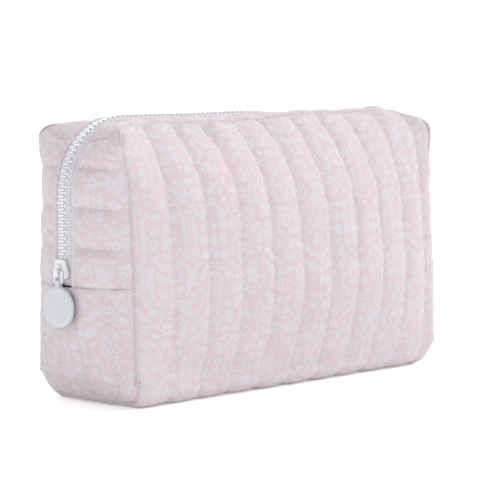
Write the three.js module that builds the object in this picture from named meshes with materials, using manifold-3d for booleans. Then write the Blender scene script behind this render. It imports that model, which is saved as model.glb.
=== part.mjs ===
// A boxy quilted cosmetic bag with a zip that runs over its top and part-way down both ends.
// Millimetres. +X along the bag, -Y is the front, +Z up; the origin is the middle of the flat base.
import * as THREE from "three";
import { mergeVertices } from "three/addons/utils/BufferGeometryUtils.js";
import Module from "manifold-3d";

const wasm = await Module();
wasm.setup();

// ---- Driving dimensions ----
const SEAM_HALF_LENGTH = 124; // middle to an upright corner seam
const DEPTH_AT_FOOT = 39.5; // middle plane to a corner seam, at the base
const DEPTH_AT_TOP = 32; // the same, at the top seam
const SEAM_TOP = 149; // height of the top seams
const CREST_TOP = 153; // height of the top along the zip
const FOLD_HEIGHT = 64; // the end seam, where the walls fold outwards
const WALL_PUFF = 13.5; // how far a quilted wall swells past its corner seams
const LOWER_DRAW = 1.4; // how soon the swelling dies away below the fold
const TOP_INSET = 19; // how far the top seams run in towards the zip, between the corners
const SHOULDER_FOOT = 108; // height where the walls start to roll over towards the top seams
const END_PUFF = 16; // how far an end swells past its corner seams
const UNDER_RADIUS = 15; // roll of the wall into the base
const SEAM_CORNER = 8; // corner of the top seam, seen from the front
const CREST_CORNER = 45; // corner of the zip's own line
const GAP = 0.3; // between pieces that touch

// The quilted cloth's layers, as depths below the outer skin.
const LAYERS = {
  cover: { from: 0, to: 1.2 },
  wadding: { from: 1.85, to: 3.9 },
  lining: { from: 4.4, to: 5.2 },
};

// Zip: moulded teeth on woven tape.
const TAPE = { inner: 3.35, outer: 5.2, thickness: 0.7 };
const TEETH = { inner: 1.15, root: 2.3, outer: 3.0, thickness: 2.4, pitch: 3.2 };
const ZIP_SPLIT = 108; // end stretches stay on the bag's ends up to here
const ZIP_FOOT = 65;
const CLOTH_EDGE = 5.7; // folded cloth edge, from the zip's middle line
const TAPE_DEPTH = 0.7; // the tape's middle plane below the skin

// Slider and puller, hanging on the left end.
const SLIDER = { foot: 68.6, length: 10, width: 10, tail: 7.6, plate: 1.4, post: 1.6 };
const CROWN = { width: 2.4, reach: 3.4, bore: 2.0 };
const LINK = { width: 6.1, wire: 1.1, top: 72.6, bottom: 66.2 };
const PULLER = { radius: 11, thickness: 3, centre: 53.6, neck: 3.2, bore: 0.95 };

// ---- Outer skin ----
const lerp = THREE.MathUtils.lerp;
const clamp01 = (value) => THREE.MathUtils.clamp(value, 0, 1);
const swell = (value) => Math.sin((Math.PI / 2) * clamp01(value));
const halfDepth = (z) => lerp(DEPTH_AT_FOOT, DEPTH_AT_TOP, z / SEAM_TOP);
const endPuff = (z) => END_PUFF * swell((z + 5) / (FOLD_HEIGHT + 10));
const puffAcross = (share) => 1 - Math.abs(share) ** 1.8;

// Depth of the seam line that bounds a wall: upright at the ends, rolled in towards the zip between them.
function seamDepth(x, z) {
  const middle = 1 - Math.min(1, Math.abs(x / SEAM_HALF_LENGTH)) ** 9;
  const roll = clamp01((z - SHOULDER_FOOT) / (SEAM_TOP - SHOULDER_FOOT)) ** 2.2;
  return halfDepth(z) - TOP_INSET * middle * roll;
}

// A wall is fullest half-way up, and draws in again towards the base.
function wallPuff(x, z) {
  const across = 1 - Math.min(1, Math.abs(x / SEAM_HALF_LENGTH)) ** 2.2;
  const low = 1 - LOWER_DRAW * clamp01(1 - z / FOLD_HEIGHT) ** 1.6;
  return WALL_PUFF * across * swell((SEAM_TOP - z) / (SEAM_TOP / 2)) * Math.max(0, low);
}

// The end seam runs in at its foot, and the base lifts and swells to meet the end panels there.
const BASE_END = 118;
const BASE_END_PUFF = 3.5;
const END_RISE = 12;
const baseRun = (x) => THREE.MathUtils.clamp(Math.abs(x) - BASE_END + 10, 0, END_RISE);
const baseRise = (x) => END_RISE - Math.sqrt(END_RISE ** 2 - baseRun(x) ** 2);
const seamReach = (z) => lerp(BASE_END, SEAM_HALF_LENGTH, swell(z / UNDER_RADIUS));

// A line up one end, over the top and down the other: run 0..1..2..3 counts left end, top, right end.
function archPoint(run, halfLength, top, corner, power) {
  const [u, v] = run < 1 ? [-1, run] : run < 2 ? [2 * run - 3, 1] : [1, 3 - run];
  const x = u * halfLength;
  const z = FOLD_HEIGHT + v * (top - FOLD_HEIGHT);
  const dx = Math.max(0, Math.abs(x) - (halfLength - corner)) / corner;
  const dz = Math.max(0, z - (top - corner)) / corner;
  const radius = Math.max(dx, dz);
  const shrink = radius === 0 ? 1 : radius / (dx ** power + dz ** power) ** (1 / power);
  return {
    x: Math.sign(x) * (Math.abs(x) - dx * corner * (1 - shrink)),
    z: z - dz * corner * (1 - shrink),
  };
}

const seamArch = (run) => archPoint(run, SEAM_HALF_LENGTH, SEAM_TOP, SEAM_CORNER, 2);

// Gusset skin: side is -1 at the front, 1 at the back; away is the distance from the zip's middle line.
function gussetSkin(run, away, side) {
  const guide = seamArch(run);
  const rise = puffAcross(away / seamDepth(guide.x, guide.z));
  const corner = lerp(SEAM_CORNER, CREST_CORNER, rise);
  const top = lerp(SEAM_TOP, CREST_TOP, rise);
  const point = archPoint(run, SEAM_HALF_LENGTH + END_PUFF * rise, top, corner, lerp(2, 2.2, rise));
  return new THREE.Vector3(point.x, side * away, point.z);
}

function upperWallSkin(u, v, side) {
  const reach = Math.max(Math.abs(u), v, 1e-6);
  const run = Math.abs(u) >= v ? (u < 0 ? v / reach : 3 - v / reach) : (u / reach + 3) / 2;
  const edge = seamArch(run);
  const x = edge.x * reach;
  const z = FOLD_HEIGHT + (edge.z - FOLD_HEIGHT) * reach;
  return new THREE.Vector3(x, side * (seamDepth(x, z) + wallPuff(x, z)), z);
}

// Lower wall, roll and base in one: v is 0 at the fold, 1 at the roll's start, 2 at its end, 3 mid-base.
function lowerSkin(u, v, side) {
  const turn = clamp01(v - 1) * (Math.PI / 2);
  const z = v < 1 ? lerp(FOLD_HEIGHT, UNDER_RADIUS, v) : UNDER_RADIUS * (1 - Math.sin(turn));
  const seam = u * seamReach(z);
  const low = Math.max(0, 1 - z / UNDER_RADIUS);
  const wall = halfDepth(z) + wallPuff(seam, z);
  const y = (wall - UNDER_RADIUS * (1 - Math.cos(turn))) * (1 - Math.max(0, v - 2));
  const x = seam + u * BASE_END_PUFF * low * puffAcross(y / wall);
  return new THREE.Vector3(x, side * y, z + baseRise(seam) * low);
}

function endSkin(share, z, side) {
  const x = seamReach(z) + endPuff(z) * puffAcross(share);
  return new THREE.Vector3(side * x, share * halfDepth(z), z);
}

// ---- Solids ----
const mirrored = (half) => [...half.map((value) => -value).reverse(), 0, ...half];
const steps = (from, to, count) => Array.from({ length: count + 1 }, (_, i) => lerp(from, to, i / count));

function signedVolume(points, triangles) {
  let sum = 0;
  for (const [a, b, c] of triangles) sum += points[a].dot(points[b].clone().cross(points[c]));
  return sum / 6;
}

function closedBody(points, triangles) {
  const outward = signedVolume(points, triangles) > 0;
  const geometry = new THREE.BufferGeometry();
  geometry.setAttribute("position", new THREE.Float32BufferAttribute(points.flatMap((p) => p.toArray()), 3));
  geometry.setIndex(triangles.flatMap(([a, b, c]) => (outward ? [a, b, c] : [a, c, b])));
  geometry.computeVertexNormals();
  return geometry;
}

function inwardNormal(skin, u, v, inside) {
  const step = 1e-3;
  const along = skin(u + step, v).sub(skin(u - step, v));
  const across = skin(u, v + step).sub(skin(u, v - step));
  const normal = along.cross(across).normalize();
  return normal.dot(inside.clone().sub(skin(u, v))) < 0 ? normal.negate() : normal;
}

// A sheet of even thickness under a skin, between two depths, over a grid of us and vs.
function sheet(skin, us, vs, layer, inside) {
  const points = [];
  for (const depth of [layer.from, layer.to]) {
    for (const u of us) {
      for (const v of vs) {
        points.push(skin(u, v).addScaledVector(inwardNormal(skin, u, v, inside), depth));
      }
    }
  }
  const rows = us.length;
  const columns = vs.length;
  const at = (face, i, j) => face * rows * columns + i * columns + j;
  const triangles = [];
  const quad = (a, b, c, d) => triangles.push([a, b, c], [a, c, d]);
  for (let i = 0; i < rows - 1; i += 1) {
    for (let j = 0; j < columns - 1; j += 1) {
      quad(at(0, i, j), at(0, i + 1, j), at(0, i + 1, j + 1), at(0, i, j + 1));
      quad(at(1, i, j), at(1, i, j + 1), at(1, i + 1, j + 1), at(1, i + 1, j));
    }
    quad(at(0, i, 0), at(1, i, 0), at(1, i + 1, 0), at(0, i + 1, 0));
    const last = columns - 1;
    quad(at(0, i, last), at(0, i + 1, last), at(1, i + 1, last), at(1, i, last));
  }
  for (let j = 0; j < columns - 1; j += 1) {
    quad(at(0, 0, j), at(0, 0, j + 1), at(1, 0, j + 1), at(1, 0, j));
    quad(at(0, rows - 1, j), at(1, rows - 1, j), at(1, rows - 1, j + 1), at(0, rows - 1, j + 1));
  }
  return closedBody(points, triangles);
}

function solid(geometry) {
  const bare = geometry.clone();
  for (const name of Object.keys(bare.attributes)) if (name !== "position") bare.deleteAttribute(name);
  const merged = mergeVertices(bare, 1e-4);
  const mesh = new wasm.Mesh({
    numProp: 3,
    vertProperties: new Float32Array(merged.attributes.position.array),
    triVerts: new Uint32Array(merged.index.array),
  });
  return new wasm.Manifold(mesh);
}

function fromSolid(body) {
  const mesh = body.getMesh();
  const geometry = new THREE.BufferGeometry();
  geometry.setAttribute("position", new THREE.BufferAttribute(mesh.vertProperties, 3));
  geometry.setIndex(new THREE.BufferAttribute(mesh.triVerts, 1));
  geometry.computeVertexNormals();
  return geometry;
}

function box(from, to) {
  const size = to.map((value, i) => value - from[i]);
  const geometry = new THREE.BoxGeometry(...size);
  return geometry.translate(...from.map((value, i) => value + size[i] / 2));
}

// ---- Materials ----
const material = (color, roughness, metalness = 0) =>
  new THREE.MeshStandardMaterial({ color, roughness, metalness });
const MATERIALS = {
  cover: material(0xe6cdd3, 0.85),
  wadding: material(0xf2f1ee, 0.95),
  lining: material(0xe9d7db, 0.8),
  tape: material(0xe4e4e8, 0.85),
  teeth: material(0xf6f6f7, 0.35),
  slider: material(0xf1f1f2, 0.3),
  puller: material(0xd8dadf, 0.45),
  binding: material(0xeedfe2, 0.85),
};

const bag = new THREE.Group();

function add(name, geometry, look) {
  const mesh = new THREE.Mesh(geometry, look);
  mesh.name = name;
  bag.add(mesh);
}

// ---- Quilted panels, each of cover, wadding and lining ----
const INSIDE = new THREE.Vector3(0, 0, 70);
// A wall's corners stand proud of its top, so its inside is found straight across the bag.
const acrossFrom = (side) => new THREE.Vector3(0, -side * 1000, 70);
const ARCH_SIDE = [0, 0.25, 0.5, 0.68, 0.82, 0.92, 1];
const ARCH_TOP = [1.03, 1.07, 1.12, 1.19, 1.3, 1.5, 1.7, 1.81, 1.88, 1.93, 1.97];
const ARCH = [...ARCH_SIDE, ...ARCH_TOP, ...ARCH_SIDE.map((run) => 3 - run).reverse()];

function addLayers(name, build) {
  for (const [layerName, layer] of Object.entries(LAYERS)) {
    add(`${name}_${layerName}`, build(layer), MATERIALS[layerName]);
  }
}

// Each layer is cut a little shorter than the one outside it, and shares its stations.
function mainPanel(layer) {
  const reaches = Object.values(LAYERS).filter(({ from }) => from >= layer.from)
    .map(({ from }) => 1 - from / SEAM_HALF_LENGTH);
  const us = mirrored([0.3, 0.6, 0.85, 0.89, 0.92, 0.945, ...reaches.reverse()]);
  const half = [0.006, 0.5, 1, 1.2, 1.4, 1.6, 1.8, 2, 2.5];
  const section = (v) => (v <= 3 ? [v, -1] : [6 - v, 1]);
  const skin = (u, v) => lowerSkin(u, ...section(v));
  return sheet(skin, us, [...half, 3, ...half.map((v) => 6 - v).reverse()], layer, INSIDE);
}

// The wadding and lining stop one step short of the cover's edge, where the seam allowance is trimmed.
function upperWall(layer, side) {
  const us = [0.3, 0.6, 0.74, 0.82, 0.88, 0.92, 0.96];
  const vs = [GAP / 80, 0.25, 0.5, 0.62, 0.74, 0.82, 0.88, 0.93];
  if (layer === LAYERS.cover) [us, vs].forEach((stations) => stations.push(1));
  return sheet((u, v) => upperWallSkin(u, v, side), mirrored(us), vs, layer, acrossFrom(side));
}

function endPanel(layer, side) {
  const inset = layer.to + GAP + 0.2;
  const shares = mirrored([0.25, 0.5, 0.72, 1 - inset / DEPTH_AT_TOP]);
  const foot = 6.6 + layer.from * 1.4;
  const skin = (share, z) => endSkin(share, z, side);
  return sheet(skin, shares, [foot, 14, 18, 25, 36, 50, FOLD_HEIGHT - GAP], layer, INSIDE);
}

function gussetPanel(layer, side) {
  const inset = layer.to + 3 * GAP;
  const skin = (run, across) => {
    const guide = seamArch(run);
    return gussetSkin(run, lerp(seamDepth(guide.x, guide.z) - inset, CLOTH_EDGE, across), side);
  };
  const runs = ARCH.map((run) => THREE.MathUtils.clamp(run, 0.008, 2.992));
  return sheet(skin, runs, [0, 0.2, 0.4, 0.6, 0.8, 1], layer, INSIDE);
}

addLayers("main_panel", mainPanel);
for (const [name, side] of [["front", -1], ["back", 1]]) {
  addLayers(`${name}_wall`, (layer) => upperWall(layer, side));
  addLayers(`${name}_gusset`, (layer) => gussetPanel(layer, side));
}
for (const [name, side] of [["left", -1], ["right", 1]]) {
  addLayers(`${name}_end`, (layer) => endPanel(layer, side));
}

// ---- Zip halves on the walls, and the end stretches that stay on the ends ----
const ARCH_FROM_SPLIT = (ZIP_SPLIT - FOLD_HEIGHT + GAP) / (CREST_TOP - FOLD_HEIGHT);
const stripDepths = ({ thickness }) => ({
  from: TAPE_DEPTH - thickness / 2,
  to: TAPE_DEPTH + thickness / 2,
});

function zipTape(side) {
  const [first, last] = [ARCH_FROM_SPLIT, 3 - ARCH_FROM_SPLIT];
  const inner = ARCH.filter((run) => run > first + 0.02 && run < last - 0.02);
  const skin = (run, away) => gussetSkin(run, away, side);
  return sheet(skin, [first, ...inner, last], [TAPE.inner, TAPE.outer], stripDepths(TAPE), INSIDE);
}

// Places along the zip's line, evenly spaced by length, from one end stretch to the other.
function evenRuns(spacing) {
  const fine = steps(ARCH_FROM_SPLIT, 3 - ARCH_FROM_SPLIT, 1500);
  const lengths = [0];
  for (let i = 1; i < fine.length; i += 1) {
    lengths.push(lengths[i - 1] + gussetSkin(fine[i], 0, 1).distanceTo(gussetSkin(fine[i - 1], 0, 1)));
  }
  const count = 2 * Math.round(lengths.at(-1) / spacing / 2);
  return steps(0, lengths.at(-1), count).map((length) => {
    const next = Math.max(1, lengths.findIndex((reached) => reached >= length - 1e-6));
    const share = (length - lengths[next - 1]) / (lengths[next] - lengths[next - 1]);
    return lerp(fine[next - 1], fine[next], share);
  });
}

// A moulded row: a rib along the tape's edge with a tooth at every pitch.
function toothRow(side) {
  const runs = evenRuns(TEETH.pitch / 2);
  const place = (index, away) => gussetSkin(runs[index], away, side);
  const skin = (index, away) => {
    const low = THREE.MathUtils.clamp(Math.floor(index), 0, runs.length - 2);
    return place(low, away).lerp(place(low + 1, away), index - low);
  };
  const tip = (index) => (index % 2 ? TEETH.inner : TEETH.root);
  return toothed(skin, runs.length, tip, stripDepths(TEETH));
}

function toothed(skin, count, tip, layer) {
  const points = [];
  for (let index = 0; index < count; index += 1) {
    const normal = inwardNormal(skin, Math.min(index, count - 2) + 0.5, TEETH.outer, INSIDE);
    for (const [away, depth] of [[tip(index), layer.from], [TEETH.outer, layer.from],
      [TEETH.outer, layer.to], [tip(index), layer.to]]) {
      points.push(skin(index, away).addScaledVector(normal, depth));
    }
  }
  const triangles = [[0, 1, 2], [0, 2, 3]];
  for (let index = 0; index < count - 1; index += 1) {
    for (let corner = 0; corner < 4; corner += 1) {
      const [a, b] = [index * 4 + corner, index * 4 + ((corner + 1) % 4)];
      triangles.push([a, a + 4, b + 4], [a, b + 4, b]);
    }
  }
  const last = (count - 1) * 4;
  triangles.push([last, last + 2, last + 1], [last, last + 3, last + 2]);
  return closedBody(points, triangles);
}

const CREST_X = SEAM_HALF_LENGTH + END_PUFF - TAPE_DEPTH;

function uprightTape(end, side) {
  const half = TAPE.thickness / 2;
  const ys = [side * TAPE.inner, side * TAPE.outer];
  const from = [end * CREST_X - half, Math.min(...ys), ZIP_FOOT];
  return box(from, [end * CREST_X + half, Math.max(...ys), ZIP_SPLIT - GAP]);
}

function uprightTeeth(end, side) {
  const count = 2 * Math.round((ZIP_SPLIT - SLIDER.foot) / TEETH.pitch) + 1;
  const rise = (ZIP_SPLIT - GAP - SLIDER.foot) / (count - 1);
  const x = end * (CREST_X + TAPE_DEPTH);
  const skin = (index, away) => new THREE.Vector3(x, side * away, SLIDER.foot + index * rise);
  const tip = (index) => (index % 2 ? TEETH.inner : TEETH.root);
  return toothed(skin, count, tip, stripDepths(TEETH));
}

function tapeEnd(end) {
  const half = TAPE.thickness / 2;
  const from = [end * CREST_X - half, -TAPE.outer, ZIP_FOOT];
  const foot = box(from, [end * CREST_X + half, TAPE.outer, ZIP_FOOT + 1.2]);
  const legs = [-1, 1].map((side) => solid(uprightTape(end, side)));
  return fromSolid(solid(foot).add(legs[0]).add(legs[1]));
}

function endStop(end) {
  const from = [end * CREST_X - 1.5, -TEETH.outer, ZIP_FOOT + 1.6];
  return box(from, [end * CREST_X + 1.5, TEETH.outer, SLIDER.foot - GAP]);
}

for (const [name, side] of [["front", -1], ["back", 1]]) {
  add(`${name}_zip_tape`, zipTape(side), MATERIALS.tape);
  add(`${name}_zip_teeth`, toothRow(side), MATERIALS.teeth);
}
for (const [name, end] of [["left", -1], ["right", 1]]) {
  add(`${name}_zip_tape_end`, tapeEnd(end), MATERIALS.tape);
  for (const [sideName, side] of [["front", -1], ["back", 1]]) {
    add(`${name}_zip_teeth_end_${sideName}`, uprightTeeth(end, side), MATERIALS.teeth);
  }
  add(`${name}_zip_stop`, endStop(end), MATERIALS.teeth);
}

// ---- Slider, link and puller ----
function sliderOutline() {
  const half = SLIDER.width / 2;
  const tail = SLIDER.tail / 2;
  const shape = new THREE.Shape();
  shape.moveTo(-half + 1.5, 0);
  shape.lineTo(half - 1.5, 0);
  shape.quadraticCurveTo(half, 0, half, 1.5);
  shape.lineTo(half, SLIDER.length * 0.42);
  shape.quadraticCurveTo(half, SLIDER.length * 0.6, tail, SLIDER.length * 0.78);
  shape.lineTo(tail, SLIDER.length - 1);
  shape.quadraticCurveTo(tail, SLIDER.length, tail - 1, SLIDER.length);
  shape.lineTo(-tail + 1, SLIDER.length);
  shape.quadraticCurveTo(-tail, SLIDER.length, -tail, SLIDER.length - 1);
  shape.lineTo(-tail, SLIDER.length * 0.78);
  shape.quadraticCurveTo(-half, SLIDER.length * 0.6, -half, SLIDER.length * 0.42);
  shape.lineTo(-half, 1.5);
  shape.quadraticCurveTo(-half, 0, -half + 1.5, 0);
  return shape;
}

// A flat outline drawn in Y and Z, given its thickness along X from x.
function plateAlongX(shape, x, thickness, z) {
  const cut = { depth: thickness, bevelEnabled: false, curveSegments: 4 };
  const geometry = new THREE.ExtrudeGeometry(shape, cut);
  const turn = new THREE.Matrix4().makeBasis(
    new THREE.Vector3(0, 1, 0), new THREE.Vector3(0, 0, 1), new THREE.Vector3(1, 0, 0));
  return geometry.applyMatrix4(turn).translate(x, 0, z);
}

const SLIDER_CHANNEL = TEETH.thickness / 2 + GAP;
const SLIDER_FACE = -CREST_X - SLIDER_CHANNEL - SLIDER.plate;

function sliderBody() {
  const outline = sliderOutline();
  const outer = solid(plateAlongX(outline, SLIDER_FACE, SLIDER.plate, SLIDER.foot));
  const inner = solid(plateAlongX(outline, -CREST_X + SLIDER_CHANNEL, 1.1, SLIDER.foot));
  const post = solid(box([SLIDER_FACE + 0.4, -SLIDER.post / 2, SLIDER.foot + 0.4],
    [-CREST_X + SLIDER_CHANNEL + 0.6, SLIDER.post / 2, SLIDER.foot + 3.6]));
  let body = outer.add(inner).add(post);
  for (const side of [-1, 1]) {
    const ys = [side * (SLIDER.width / 2 - 0.9), side * (SLIDER.width / 2)];
    const flange = box([SLIDER_FACE + 0.4, Math.min(...ys), SLIDER.foot + 1.5],
      [-CREST_X - TAPE.thickness / 2 - 0.35, Math.max(...ys), SLIDER.foot + SLIDER.length * 0.42]);
    body = body.add(solid(flange));
  }
  return fromSolid(body);
}

// The arch over the link's bar, a flat hoop drawn in X and Z and cut from the outside.
function crown() {
  const shape = new THREE.Shape();
  const foot = SLIDER_FACE - 0.05;
  const tall = CROWN.reach;
  shape.moveTo(0, 0);
  shape.bezierCurveTo(0.4, tall * 1.25, 7.1, tall * 1.25, 7.5, 0);
  shape.lineTo(5.9, 0);
  shape.bezierCurveTo(5.5, CROWN.bore * 1.4, 2, CROWN.bore * 1.4, 1.6, 0);
  shape.closePath();
  const cut = { depth: CROWN.width, bevelEnabled: false, curveSegments: 8 };
  const geometry = new THREE.ExtrudeGeometry(shape, cut);
  const turn = new THREE.Matrix4().makeBasis(
    new THREE.Vector3(0, 0, 1), new THREE.Vector3(-1, 0, 0), new THREE.Vector3(0, -1, 0));
  return geometry.applyMatrix4(turn).translate(foot - GAP + 0.05, CROWN.width / 2, LINK.top - 3.75);
}

function roundedRectangle(target, width, height, radius) {
  const x = width / 2;
  const y = height / 2;
  target.moveTo(-x + radius, -y);
  target.lineTo(x - radius, -y);
  target.absarc(x - radius, -y + radius, radius, -Math.PI / 2, 0);
  target.absarc(x - radius, y - radius, radius, 0, Math.PI / 2);
  target.absarc(-x + radius, y - radius, radius, Math.PI / 2, Math.PI);
  target.absarc(-x + radius, -y + radius, radius, Math.PI, Math.PI * 1.5);
  return target;
}

const PULL_X = SLIDER_FACE - 1.0;

function pullLink() {
  const height = LINK.top - LINK.bottom;
  const outline = roundedRectangle(new THREE.Shape(), LINK.width, height + LINK.wire, 1.6);
  const opening = [LINK.width - 2 * LINK.wire, height - LINK.wire, 0.6];
  outline.holes.push(roundedRectangle(new THREE.Path(), ...opening));
  return plateAlongX(outline, PULL_X - LINK.wire / 2, LINK.wire, LINK.bottom + height / 2);
}

function pullerDisc() {
  const half = PULLER.thickness / 2;
  const profile = [[0, -half], [PULLER.radius - 1, -half], [PULLER.radius - 0.3, -half + 0.3],
    [PULLER.radius, -half + 1], [PULLER.radius, half - 1], [PULLER.radius - 0.3, half - 0.3],
    [PULLER.radius - 1, half], [0, half]].map(([x, y]) => new THREE.Vector2(x, y));
  const disc = new THREE.LatheGeometry(profile, 40).rotateZ(Math.PI / 2);
  disc.translate(PULL_X, 0, PULLER.centre);
  const neckTop = LINK.bottom + 1.4;
  const neck = box([PULL_X - half + 0.3, -PULLER.neck / 2, PULLER.centre + PULLER.radius - 2],
    [PULL_X + half - 0.3, PULLER.neck / 2, neckTop]);
  const bore = new THREE.CylinderGeometry(PULLER.bore, PULLER.bore, 8, 16).translate(PULL_X, 0, LINK.bottom);
  return fromSolid(solid(disc).add(solid(neck)).subtract(solid(bore)));
}

add("slider_body", sliderBody(), MATERIALS.slider);
add("slider_crown", crown(), MATERIALS.slider);
add("pull_link", pullLink(), MATERIALS.slider);
add("puller_disc", pullerDisc(), MATERIALS.puller);

// ---- Bindings over the raw seam edges inside ----
const BINDING = { width: 3, thickness: 1.4, inset: 9, insetY: 8.6 };

function bindingAlong(points, count) {
  const half = [BINDING.width / 2, BINDING.thickness / 2];
  const section = new THREE.Shape();
  section.moveTo(-half[0], -half[1]);
  section.lineTo(half[0], -half[1]);
  section.lineTo(half[0], half[1]);
  section.lineTo(-half[0], half[1]);
  section.closePath();
  const path = new THREE.CatmullRomCurve3(points, false, "centripetal");
  return new THREE.ExtrudeGeometry(section, { steps: count, bevelEnabled: false, extrudePath: path });
}

function wallBinding(side) {
  const runs = ARCH.map((run) => THREE.MathUtils.clamp(run, 0.04, 2.96));
  const points = runs.map((run) => {
    const at = archPoint(run, SEAM_HALF_LENGTH - BINDING.inset, SEAM_TOP - BINDING.inset, SEAM_CORNER, 2);
    return new THREE.Vector3(at.x, side * (seamDepth(at.x, at.z) - BINDING.insetY), at.z);
  });
  return bindingAlong(points, 44);
}

function endBinding(end) {
  const low = BINDING.inset + 1;
  const deep = halfDepth(low) - BINDING.insetY;
  const half = [[62, 0], [45, 0], [28, 0], [16, 1.5], [low, 7]].map(([z, inset]) =>
    [z, -(halfDepth(z) - BINDING.insetY) + inset]);
  const across = [[low, -deep / 2], [low, 0], [low, deep / 2]];
  const outline = [...half, ...across, ...half.map(([z, y]) => [z, -y]).reverse()];
  const reach = (z) => SEAM_HALF_LENGTH - BINDING.inset - 6 * (1 - clamp01(z / 30));
  return bindingAlong(outline.map(([z, y]) => new THREE.Vector3(end * reach(z), y, z)), 30);
}

add("front_seam_binding", wallBinding(-1), MATERIALS.binding);
add("back_seam_binding", wallBinding(1), MATERIALS.binding);
add("left_seam_binding", endBinding(-1), MATERIALS.binding);
add("right_seam_binding", endBinding(1), MATERIALS.binding);

export default bag;
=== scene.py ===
"""A quilted cosmetic bag in printed cotton, zipped over its top and part-way down both ends.

Lengths are millimetres until a mesh is made, and metres after that. +X runs along the bag, -Y is its front, +Z is up.
"""

import math

import bpy
import numpy as np
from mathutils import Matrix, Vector


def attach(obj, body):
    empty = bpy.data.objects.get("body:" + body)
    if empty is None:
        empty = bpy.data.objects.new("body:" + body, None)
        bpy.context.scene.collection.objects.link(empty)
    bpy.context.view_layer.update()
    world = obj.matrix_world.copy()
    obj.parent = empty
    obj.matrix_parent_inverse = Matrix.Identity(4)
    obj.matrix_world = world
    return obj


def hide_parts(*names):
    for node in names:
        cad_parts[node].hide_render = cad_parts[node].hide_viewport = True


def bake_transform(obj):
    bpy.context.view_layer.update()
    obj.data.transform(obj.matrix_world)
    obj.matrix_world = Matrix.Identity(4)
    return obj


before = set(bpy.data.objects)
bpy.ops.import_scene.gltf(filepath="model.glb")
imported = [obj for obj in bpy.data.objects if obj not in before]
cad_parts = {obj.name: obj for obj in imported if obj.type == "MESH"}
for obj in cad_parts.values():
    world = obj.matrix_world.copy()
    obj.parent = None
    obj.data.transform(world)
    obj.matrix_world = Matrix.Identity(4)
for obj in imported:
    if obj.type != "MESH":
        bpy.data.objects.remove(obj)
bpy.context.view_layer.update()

MM = 0.001

# ---- The bag's driving dimensions, as cut ----
SEAM_HALF_LENGTH = 124.0
DEPTH_AT_FOOT = 39.5
DEPTH_AT_TOP = 32.0
SEAM_TOP = 149.0
CREST_TOP = 153.0
FOLD_HEIGHT = 64.0
WALL_PUFF = 13.5
LOWER_DRAW = 1.4
TOP_INSET = 19.0
SHOULDER_FOOT = 108.0
END_PUFF = 16.0
UNDER_RADIUS = 15.0
ROLL_SQUARENESS = 0.84
SEAM_CORNER = 10.0
CREST_CORNER = 45.0
BASE_END = 118.0
BASE_END_PUFF = 3.5
END_RISE = 12.0
END_HALF_WIDTH = 39.0
CLOTH_EDGE = 5.4
QUILT_THICKNESS = 3.9
SEAM_THICKNESS = 1.3
LINING_DEPTH = 4.6
LINING_CLOTH = 0.45
INSIDE = np.array([0.0, 0.0, 70.0])

QUILT_PITCH = 23.5
WALL_QUILT = [-98.5 + QUILT_PITCH * i for i in range(10)]
END_QUILT = [-25.5, -5.0, 15.5, 34.5]
GUSSET_PITCH = 20.0
STITCH_PITCH = 3.3


# ---- Outer skin ----
def swell(t):
    return np.sin(np.pi / 2 * np.clip(t, 0, 1))


def smooth(t):
    t = np.clip(t, 0, 1)
    return t * t * (3 - 2 * t)


def lerp(a, b, t):
    return a + (b - a) * t


def half_depth(z):
    return lerp(DEPTH_AT_FOOT, DEPTH_AT_TOP, z / SEAM_TOP)


def end_puff(z):
    return END_PUFF * swell((z + 5) / (FOLD_HEIGHT + 10))


def puff_across(share):
    return 1 - np.abs(share) ** 1.8


def seam_depth(x, z):
    middle = 1 - np.minimum(1, np.abs(x / SEAM_HALF_LENGTH)) ** 9
    roll = np.clip((z - SHOULDER_FOOT) / (SEAM_TOP - SHOULDER_FOOT), 0, 1) ** 2.2
    return half_depth(z) - TOP_INSET * middle * roll


def wall_puff(x, z):
    across = 1 - np.minimum(1, np.abs(x / SEAM_HALF_LENGTH)) ** 2.2
    low = 1 - LOWER_DRAW * np.clip(1 - z / FOLD_HEIGHT, 0, 1) ** 1.6
    return WALL_PUFF * across * swell((SEAM_TOP - z) / (SEAM_TOP / 2)) * np.maximum(0, low)


def base_rise(x):
    run = np.clip(np.abs(x) - BASE_END + 7.5, 0, END_RISE)
    return END_RISE - np.sqrt(END_RISE**2 - run**2)


def arch_point(run, half_length, top, corner, power):
    """Up one end, over the top and down the other: run 0..1..2..3."""
    u = np.where(run < 1, -1, np.where(run < 2, 2 * run - 3, 1))
    v = np.where(run < 1, run, np.where(run < 2, 1, 3 - run))
    x = u * half_length
    z = FOLD_HEIGHT + v * (top - FOLD_HEIGHT)
    dx = np.maximum(0, np.abs(x) - (half_length - corner)) / corner
    dz = np.maximum(0, z - (top - corner)) / corner
    radius = np.maximum(dx, dz)
    spread = (dx**power + dz**power + 1e-12) ** (1 / power)
    shrink = np.where(radius > 1e-5, radius / spread, 1)
    return np.sign(x) * (np.abs(x) - dx * corner * (1 - shrink)), z - dz * corner * (1 - shrink)


def seam_arch(run):
    return arch_point(run, SEAM_HALF_LENGTH, SEAM_TOP, SEAM_CORNER, 2.0)


def gusset_skin(run, away, side):
    guide_x, guide_z = seam_arch(run)
    rise = puff_across(np.minimum(1, away / seam_depth(guide_x, guide_z)))
    x, z = arch_point(
        run,
        SEAM_HALF_LENGTH + END_PUFF * rise,
        lerp(SEAM_TOP, CREST_TOP, rise),
        lerp(SEAM_CORNER, CREST_CORNER, rise),
        lerp(2.0, 2.2, rise),
    )
    return np.stack([x, side * away + 0 * x, z], -1)


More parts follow.
